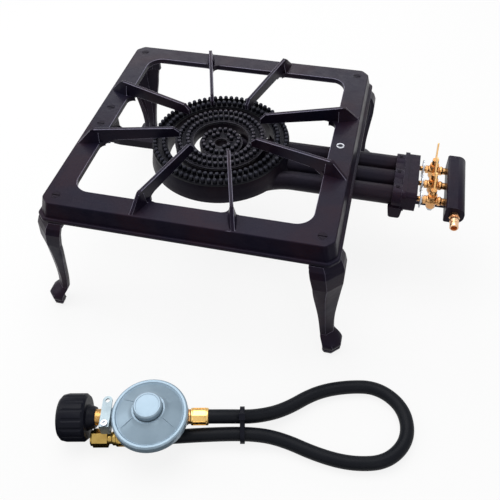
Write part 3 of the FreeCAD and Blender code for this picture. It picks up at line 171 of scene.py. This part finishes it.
def machined(name, colour, tint, rough, metallic=1.0, along=(1.0, 1.0, 1.0), marks=0.3):
    """Turned or drawn metal with fine tool marks and slight tarnish."""
    mat, tree, shader, place = material(name)
    tarnish_noise = noise(tree, place, scale=45.0, detail=3.0)
    tool_marks = noise(tree, place, scale=500.0, detail=2.0, rough=0.5, stretch=along)
    tarnish = ramp(tree, tarnish_noise, [(0.35, 0.0), (0.75, 1.0)])
    sheen = ramp(tree, tool_marks, [(0.3, rough - 0.05), (0.75, rough + 0.08)])
    tree.links.new(blend_colour(tree, tarnish, colour, tint), shader.inputs["Base Color"])
    tree.links.new(sheen, shader.inputs["Roughness"])
    shader.inputs["Metallic"].default_value = metallic
    bump(tree, shader, [(tool_marks, marks, 0.0004)])
    return mat


def moulded(name, colour, other, rough, grain, specular, scale=600.0, metallic=0.0):
    """Moulded plastic, rubber or metallic paint with a fine skin."""
    mat, tree, shader, place = material(name)
    cloud_noise = noise(tree, place, scale=40.0, detail=3.0)
    skin = noise(tree, place, scale=scale, detail=2.0)
    clouds = ramp(tree, cloud_noise, [(0.35, 0.0), (0.7, 1.0)])
    sheen = ramp(tree, skin, [(0.3, rough - 0.04), (0.7, rough + 0.06)])
    tree.links.new(blend_colour(tree, clouds, colour, other), shader.inputs["Base Color"])
    tree.links.new(sheen, shader.inputs["Roughness"])
    shader.inputs["Specular IOR Level"].default_value = specular
    shader.inputs["Metallic"].default_value = metallic
    bump(tree, shader, [(skin, grain, 0.0004)])
    return mat


def burner_head(name, head, plate=(0.0024, 0.0025, 0.0040), nub=(0.031, 0.032, 0.045)):
    """Cast burner head: sooty plate, also darkened as painted shade between the nubs, and a painted
    highlight on the nubs that grows towards their tops, varied by wear.
    """
    mat, tree, shader, place = material(name)
    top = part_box(head)[1].z
    split = tree.nodes.new("ShaderNodeSeparateXYZ")
    tree.links.new(place, split.inputs[0])
    height = between(tree, split.outputs["Z"], low=top - nub_foot, high=top - nub_tip)
    soot_noise = noise(tree, place, scale=30.0, detail=3.0)
    wear_noise = noise(tree, place, scale=160.0, detail=2.0)
    rough_skin = noise(tree, place, scale=260.0, detail=3.0)
    # Blends by height from the sooty plate, in painted shade, to the nubs' painted highlight, varied by wear
    soot_and_shade = blend_colour(tree, soot_noise, plate, scaled(plate, 1.8))
    tip_wear_and_highlight = blend_colour(tree, wear_noise, nub, scaled(nub, 0.55))
    tree.links.new(blend_colour(tree, height, soot_and_shade, tip_wear_and_highlight), shader.inputs["Base Color"])
    shader.inputs["Roughness"].default_value = 0.5
    shader.inputs["Specular IOR Level"].default_value = 0.13
    shader.inputs["Specular Tint"].default_value = (0.85, 0.85, 1.0, 1.0)
    bump(tree, shader, [(rough_skin, 0.2, 0.001)])
    return mat


def screw_with_painted_recess(name, screw, inner, outer, recess_shade, metal):
    """Screw head, dark inside one radius as painted shade where a recess would be, and bright metal outside
    the other.
    """
    mat, tree, shader, place = material(name)
    low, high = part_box(screw)
    mapping = tree.nodes.new("ShaderNodeMapping")
    mapping.inputs["Location"].default_value = (-(low.x + high.x) / 2, -(low.y + high.y) / 2, 0.0)
    mapping.inputs["Scale"].default_value = (1.0, 1.0, 0.0)
    tree.links.new(place, mapping.inputs["Vector"])
    length = tree.nodes.new("ShaderNodeVectorMath")
    length.operation = "LENGTH"
    tree.links.new(mapping.outputs["Vector"], length.inputs[0])
    radius = between(tree, length.outputs["Value"], low=inner, high=outer)
    fine_skin = noise(tree, place, scale=400.0, detail=2.0)
    tree.links.new(blend_colour(tree, radius, recess_shade, metal), shader.inputs["Base Color"])
    shader.inputs["Metallic"].default_value = 0.9
    shader.inputs["Roughness"].default_value = 0.3
    bump(tree, shader, [(fine_skin, 0.2, 0.0006)])
    return mat


# Painted iron

stand_paint = cast_paint(
    "stand_paint", dark=(0.0072, 0.0050, 0.0115), warm=(0.0140, 0.0058, 0.0105),
    cool=(0.0040, 0.0048, 0.0130), rough=0.36, grain=1.0, specular=0.11)
# Lighter paint on the stand's bevels: a painted highlight along its edges
painted_edge_highlight = cast_paint(
    "painted_edge_highlight", dark=(0.125, 0.117, 0.162), warm=(0.138, 0.117, 0.152),
    cool=(0.112, 0.115, 0.168), rough=0.32, grain=0.6, specular=0.5)
burner_iron = cast_paint(
    "burner_iron", dark=(0.0070, 0.0055, 0.0095), warm=(0.0130, 0.0070, 0.0100),
    cool=(0.0045, 0.0050, 0.0100), rough=0.46, grain=1.2, specular=0.125)
# Lighter paint on the burners' bevels: a painted highlight along their edges
painted_burner_edge_highlight = cast_paint(
    "painted_burner_edge_highlight", dark=(0.030, 0.029, 0.036), warm=(0.036, 0.030, 0.034),
    cool=(0.027, 0.028, 0.038), rough=0.42, grain=0.8, specular=0.3)
screw_paint = cast_paint(
    "screw_paint", dark=(0.007, 0.005, 0.009), warm=(0.010, 0.006, 0.009),
    cool=(0.005, 0.005, 0.010), rough=0.50, grain=0.5, specular=0.10)

# The nubs' painted highlight grows between these two depths below the top of their burner head

nub_foot = 0.0035
nub_tip = 0.0005
head_iron = burner_head("head_iron", head="outer_ring_head")
centre_iron = burner_head("centre_iron", head="centre_ring_head")

# Metals, the regulator's paint, plastic and rubber

zinc = machined("zinc", colour=(0.50, 0.52, 0.56), tint=(0.34, 0.36, 0.40), rough=0.34)
# The hanger screw's dark centre is painted shade, as in a deep recess
hanger_zinc = screw_with_painted_recess(
    "hanger_zinc", screw="hanger_screw", inner=0.0032, outer=0.0044,
    recess_shade=(0.03, 0.03, 0.04), metal=(0.42, 0.43, 0.47))
brass = machined("brass", colour=(0.70, 0.39, 0.16), tint=(0.48, 0.22, 0.08), rough=0.25)
lever_brass = machined(
    "lever_brass", colour=(0.74, 0.46, 0.20), tint=(0.56, 0.31, 0.11), rough=0.32,
    along=(1.0, 4.0, 0.4))
fitting_brass = machined(
    "fitting_brass", colour=(0.80, 0.52, 0.32), tint=(0.62, 0.34, 0.18), rough=0.22)
end_brass = machined("end_brass", colour=(0.50, 0.35, 0.11), tint=(0.36, 0.23, 0.06), rough=0.30)
stem_brass = machined(
    "stem_brass", colour=(0.52, 0.30, 0.10), tint=(0.36, 0.19, 0.06), rough=0.30,
    along=(6.0, 1.0, 1.0), marks=0.5)
ferrule_gold = machined(
    "ferrule_gold", colour=(0.84, 0.56, 0.20), tint=(0.70, 0.44, 0.14), rough=0.26)
tag_metal = machined(
    "tag_metal", colour=(0.26, 0.32, 0.35), tint=(0.20, 0.25, 0.28), rough=0.34, metallic=0.6)

regulator_paint = moulded(
    "regulator_paint", colour=(0.27, 0.36, 0.44), other=(0.235, 0.32, 0.395), rough=0.36,
    grain=0.10, specular=0.5, scale=900.0, metallic=0.38)
wheel_plastic = moulded(
    "wheel_plastic", colour=(0.004, 0.0045, 0.009), other=(0.006, 0.0065, 0.012), rough=0.42,
    grain=0.15, specular=0.10)
hose_rubber = moulded(
    "hose_rubber", colour=(0.004, 0.005, 0.008), other=(0.006, 0.007, 0.010), rough=0.46,
    grain=0.12, specular=0.10)

# Which material each node takes

finishes = {
    "black_enamel": stand_paint, "burner_iron": burner_iron, "dark_screws": screw_paint,
    "zinc_steel": zinc, "brass": brass, "regulator_paint": regulator_paint,
    "wheel_plastic": wheel_plastic, "hose_rubber": hose_rubber}
slots = {entry["node"]: entry["material_slot"] for entry in frame["record"]["subparts"]}
special = {"bracket_tag": tag_metal, "outer_ring_head": head_iron, "middle_ring_head": head_iron,
           "centre_ring_head": centre_iron, "hanger_screw": hanger_zinc, "inlet_stem": stem_brass,
           "ferrule": ferrule_gold, "end_ferrule": end_brass, "end_fitting": end_brass,
           "inlet_fitting": fitting_brass}
for place in ("back", "middle", "front"):
    special["tap_lever_" + place] = lever_brass

# Edges: the material on a slot's bevels, if they have their own, which is a lighter paint that gives a
# painted highlight, and their width

edges = {
    "black_enamel": (painted_edge_highlight, 0.0010), "burner_iron": (painted_burner_edge_highlight, 0.0006),
    "zinc_steel": (None, 0.0003), "brass": (None, 0.0003), "regulator_paint": (None, 0.0005),
    "wheel_plastic": (None, 0.0006)}
thin_walled = ("adjusting_spring", "air_shutter")
sharp_angle = math.radians(35)
short_edge = 0.0025
frame_weight = 0.7
weld_gap = 0.000001


def mark_edges(mesh):
    """Weights a mesh's longer outward edges for the bevel, and marks its other corners as sharp."""
    spots = [tuple(round(c, 6) for c in vertex.co) for vertex in mesh.vertices]
    sides = {}
    for poly in mesh.polygons:
        for a, b in poly.edge_keys:
            sides.setdefault(frozenset((spots[a], spots[b])), []).append(poly)
    weights, corners = [], []
    for edge in mesh.edges:
        a, b = edge.vertices
        pair = sides.get(frozenset((spots[a], spots[b])), [])
        turned = len(pair) == 2 and pair[0].normal.angle(pair[1].normal, 0.0) > sharp_angle
        outward = turned and pair[0].normal.dot(pair[1].center - pair[0].center) < 0
        length = (mesh.vertices[a].co - mesh.vertices[b].co).length
        eased = outward and length > short_edge
        weights.append(frame_weight if eased else 0.0)
        corners.append(turned and not eased)
    for label, kind, values in (("bevel_weight_edge", "FLOAT", weights), ("sharp_edge", "BOOLEAN", corners)):
        layer = mesh.attributes.get(label) or mesh.attributes.new(label, kind, "EDGE")
        layer.data.foreach_set("value", values)


def ease_edges(node, width, edge_highlight_mat, by_weight):
    """Rounds a node's sharp edges, all of them or those that mark_edges weights, and gives the rounds a
    painted-highlight material where one is given.
    """
    weld = node.modifiers.new("weld", "WELD")
    weld.merge_threshold = weld_gap
    bevel = node.modifiers.new("bevel", "BEVEL")
    bevel.width = width
    bevel.segments = 2
    bevel.limit_method = "WEIGHT" if by_weight else "ANGLE"
    bevel.angle_limit = sharp_angle
    bevel.harden_normals = not by_weight
    bevel.use_clamp_overlap = not by_weight
    bevel.material = 1 if edge_highlight_mat else -1
    if by_weight:
        bevel.miter_outer = "MITER_ARC"
        shading = node.modifiers.new("shading", "WEIGHTED_NORMAL")
        shading.keep_sharp = True


def finish_node(name):
    """Gives a CAD node its finish, and eases its sharp edges."""
    node = nodes[name]
    node.data.materials.clear()
    node.data.materials.append(special.get(name, finishes[slots[name]]))
    edge_highlight_mat, width = edges.get(slots[name], (None, 0.0))
    if width and not name.startswith(thin_walled):
        if edge_highlight_mat:
            node.data.materials.append(edge_highlight_mat)
        by_weight = name == "top_frame"
        if by_weight:
            mark_edges(node.data)
        ease_edges(node, width, edge_highlight_mat, by_weight)


for name in nodes:
    finish_node(name)

# Hose, from the regulator round its loop and back under the disc

hose_route = [
    (0.00441, -0.37199, 0.03125),
    (0.03267, -0.36546, 0.03125),
    (0.06327, -0.35352, 0.02063),
    (0.09680, -0.33205, 0.01250),
    (0.13202, -0.29570, 0.00950),
    (0.17141, -0.27737, 0.00925),
    (0.21447, -0.26884, 0.00925),
    (0.25180, -0.29217, 0.00925),
    (0.26169, -0.33504, 0.00925),
    (0.23837, -0.37237, 0.00925),
    (0.19621, -0.38479, 0.00925),
    (0.15227, -0.38339, 0.00950),
    (0.09837, -0.37223, 0.01200),
    (0.05864, -0.37627, 0.01575),
    (0.00247, -0.39026, 0.01525),
    (-0.05293, -0.40588, 0.01325),
    (-0.08217, -0.41263, 0.01325),
]
hose_radius = 0.009125

curve = bpy.data.curves.new("hose_line", "CURVE")
curve.dimensions = "3D"
spline = curve.splines.new("NURBS")
spline.points.add(len(hose_route) - 1)
for point, (x, y, z) in zip(spline.points, hose_route):
    point.co = (x, y, z, 1.0)
spline.order_u = 3
spline.use_endpoint_u = True
spline.resolution_u = 16
curve.bevel_depth = hose_radius
curve.bevel_resolution = 10
curve.use_fill_caps = True
hose = bpy.data.objects.new("hose_tube", curve)
hose.data.materials.append(hose_rubber)
scene.collection.objects.link(hose)
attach(hose, "stand")
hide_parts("hose")

# Floor, light and background


def light_path_mix(tree, seen, other, output):
    """Shows one shader to camera, glossy and transmission rays, and the other to all else."""
    path = tree.nodes.new("ShaderNodeLightPath")
    rays = path.outputs["Is Camera Ray"]
    for ray in ("Is Glossy Ray", "Is Transmission Ray"):
        either = tree.nodes.new("ShaderNodeMath")
        either.operation = "MAXIMUM"
        tree.links.new(rays, either.inputs[0])
        tree.links.new(path.outputs[ray], either.inputs[1])
        rays = either.outputs[0]
    mix = tree.nodes.new("ShaderNodeMixShader")
    tree.links.new(rays, mix.inputs[0])
    tree.links.new(other, mix.inputs[1])
    tree.links.new(seen, mix.inputs[2])
    tree.links.new(mix.outputs[0], output)


def plane(name, x0, x1, y0, y1, z, mat):
    """A flat piece of the stage."""
    mesh = bpy.data.meshes.new(name)
    mesh.from_pydata([(x0, y0, z), (x1, y0, z), (x1, y1, z), (x0, y1, z)], [], [(0, 1, 2, 3)])
    mesh.materials.append(mat)
    obj = bpy.data.objects.new(name, mesh)
    scene.collection.objects.link(obj)
    return obj


paper_share = 0.14
fill_strength = 0.40

floor_mat = bpy.data.materials.new("floor_white")
floor_mat.use_nodes = True
tree = floor_mat.node_tree
tree.nodes.clear()
output = tree.nodes.new("ShaderNodeOutputMaterial")
glow = tree.nodes.new("ShaderNodeEmission")
glow.inputs["Strength"].default_value = 1.0
paper = tree.nodes.new("ShaderNodeBsdfDiffuse")
paper.inputs["Color"].default_value = (0.80, 0.80, 0.80, 1.0)
shade = tree.nodes.new("ShaderNodeMixShader")
shade.inputs[0].default_value = paper_share
tree.links.new(glow.outputs[0], shade.inputs[1])
tree.links.new(paper.outputs[0], shade.inputs[2])
light_path_mix(tree, shade.outputs[0], paper.outputs[0], output.inputs["Surface"])
plane("floor", x0=-8.0, x1=8.0, y0=-8.0, y1=8.0, z=-0.0002, mat=floor_mat)

# A black card that lies on the floor in front, and shows in reflections only

card_mat = bpy.data.materials.new("card_black")
card_mat.use_nodes = True
card_shader = card_mat.node_tree.nodes["Principled BSDF"]
card_shader.inputs["Base Color"].default_value = (0.01, 0.01, 0.01, 1.0)
card_shader.inputs["Specular IOR Level"].default_value = 0.0
card = plane("front_card", x0=-2.0, x1=2.0, y0=-1.3, y1=-0.42, z=0.0004, mat=card_mat)
card.visible_camera = False
card.visible_shadow = False
card.visible_diffuse = False

# World, white where it is seen and dimmer as a light

world = bpy.data.worlds.new("studio")
world.use_nodes = True
scene.world = world
tree = world.node_tree
tree.nodes.clear()
output = tree.nodes.new("ShaderNodeOutputWorld")
seen = tree.nodes.new("ShaderNodeBackground")
seen.inputs["Color"].default_value = (1.0, 1.0, 1.0, 1.0)
seen.inputs["Strength"].default_value = 1.0
fill = tree.nodes.new("ShaderNodeBackground")
fill.inputs["Strength"].default_value = fill_strength
light_path_mix(tree, seen.outputs[0], fill.outputs[0], output.inputs["Surface"])


def softbox(name, place, target, width, height, power):
    """A rectangular lamp that faces its target."""
    data = bpy.data.lights.new(name, "AREA")
    data.shape = "RECTANGLE"
    data.size = width
    data.size_y = height
    data.energy = power
    obj = bpy.data.objects.new(name, data)
    obj.location = place
    aim = Vector(target) - Vector(place)
    obj.rotation_euler = aim.to_track_quat("-Z", "Y").to_euler()
    scene.collection.objects.link(obj)


softbox("top_box", place=(-0.3, 0.3, 1.9), target=(0.0, 0.0, 0.1), width=1.8, height=1.6, power=30.0)
softbox("back_box", place=(-0.4, 2.0, 1.3), target=(0.0, 0.0, 0.2), width=2.2, height=0.5, power=13.0)
softbox("left_box", place=(-1.7, -0.2, 1.3), target=(0.0, -0.2, 0.1), width=1.0, height=1.0, power=9.0)
softbox("right_box", place=(1.2, -1.5, 1.3), target=(0.0, -0.3, 0.1), width=0.7, height=0.7, power=3.0)

scene.view_settings.view_transform = "Standard"
